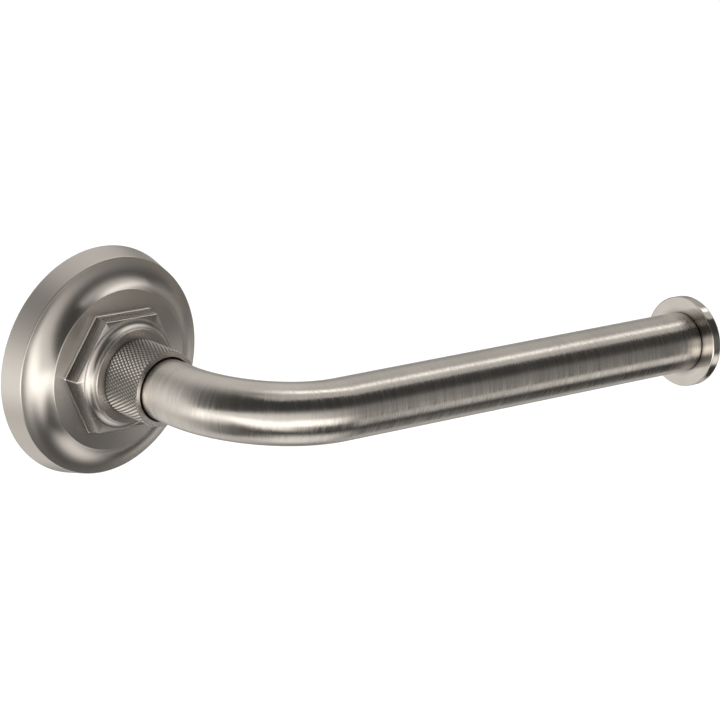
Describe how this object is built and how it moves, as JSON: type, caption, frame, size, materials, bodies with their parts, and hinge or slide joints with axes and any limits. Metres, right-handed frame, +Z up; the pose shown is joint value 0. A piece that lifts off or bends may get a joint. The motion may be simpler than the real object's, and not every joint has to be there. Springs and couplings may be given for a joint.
{
  "type": "toilet paper holder",
  "caption": "Wall-mounted toilet paper holder: round flange, hexagonal hub and knurled collar carry a bent tube arm with an end disc, all in satin nickel.",
  "frame": {"origin": "centre of the wall flange's back face, on the wall plane", "axes": "-Y out of the wall, +X along the arm towards the end disc, +Z up"},
  "size_m": [0.2205, 0.1109, 0.0714],
  "materials": {
    "satin_nickel": "satin brushed nickel",
    "knurled_nickel": "satin nickel with a fine diamond knurl",
    "plated_steel": "bright zinc plate",
    "cast_zinc": "plain die casting, slightly rough"
  },
  "bodies": {
    "wall_mount": {"wall_bracket": "cast_zinc", "wall_screws": "plated_steel"},
    "holder": {"flange": "satin_nickel", "hex_hub": "satin_nickel", "knurled_collar": "knurled_nickel", "arm_tube": "satin_nickel", "root_stud": "plated_steel", "dowel": "plated_steel", "lock_washer": "plated_steel", "fixing_nut": "plated_steel", "end_plug": "plated_steel", "end_disc": "satin_nickel"},
    "grub_screw": {"grub_screw": "plated_steel"}
  },
  "joints": [
    {"name": "holder_slide_off", "type": "slide", "parent": "wall_mount", "child": "holder", "axis": [0, -1, 0], "range_m": [0, 0.03]},
    {"name": "grub_screw_back_out", "type": "slide", "parent": "holder", "child": "grub_screw", "axis": [0, 0, -1], "range_m": [0, 0.0025]}
  ]
}
